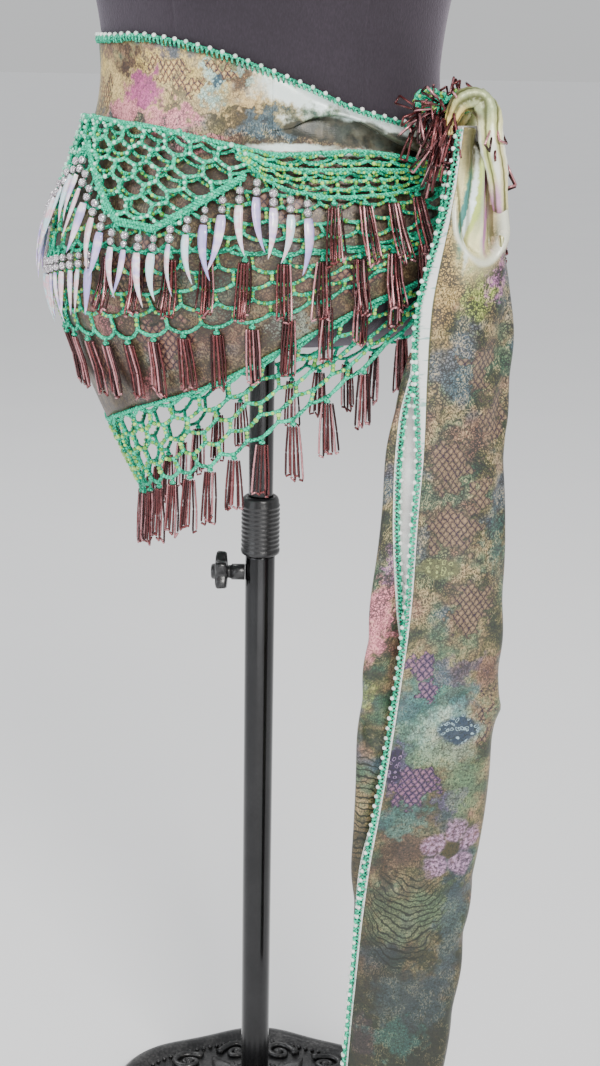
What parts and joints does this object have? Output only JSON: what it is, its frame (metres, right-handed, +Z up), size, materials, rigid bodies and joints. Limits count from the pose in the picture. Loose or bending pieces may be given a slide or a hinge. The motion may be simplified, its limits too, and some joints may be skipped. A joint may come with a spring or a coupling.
{
  "type": "belly dance hip belt on a dress form stand",
  "caption": "Knotted satin hip sash with crocheted nets, beaded fringes and a long hanging end, worn on a limbless dress form that stands on a telescopic pole.",
  "frame": {"origin": "centre of the foot's flat underside, on the pole's axis, at floor level", "axes": "+Z up the pole; the front of the figure faces -Y; +X is the viewer's right, the side of the knot"},
  "size_m": [0.3422, 0.3, 1.323],
  "materials": {
    "satin": "satin",
    "crochet": "matte",
    "bugles": "gloss",
    "tusks": "gloss",
    "form_cover": "matte",
    "tube": "gloss",
    "foot": "satin",
    "fittings": "gloss"
  },
  "bodies": {
    "stand": {"base": "foot", "pole_lower": "tube", "pole_collar": "fittings"},
    "form": {"form_torso": "form_cover", "neck_cap": "fittings", "pole_upper": "tube", "satin_wrap": "satin", "satin_fold": "satin", "knot": "satin", "knot_loop": "satin", "tail": "satin", "rim_trim": "crochet", "tail_front_trim": "crochet", "tail_back_trim": "crochet", "upper_net_points": "crochet", "upper_net_swag": "crochet", "tier_two_net": "crochet", "tier_three_net": "crochet", "hem_net_back": "crochet", "hem_net_front": "crochet", "upper_tusks": "tusks", "tier_two_tusks": "tusks", "swag_fringe_front": "bugles", "swag_fringe_back": "bugles", "tier_two_fringe_front": "bugles", "tier_two_fringe_back": "bugles", "tier_three_fringe": "bugles", "hem_fringe_front": "bugles", "hem_fringe_back": "bugles"},
    "knob": {"clamp_knob": "fittings"}
  },
  "joints": [
    {"name": "height_slide", "type": "slide", "parent": "stand", "child": "form", "axis": [0, 0, 1], "range_m": [0, 0.25]},
    {"name": "clamp_turn", "type": "hinge", "parent": "stand", "child": "knob", "pos_m": [-0.0118, 0, 0.505], "axis": [-1, 0, 0], "range_deg": [-360, 0]}
  ]
}
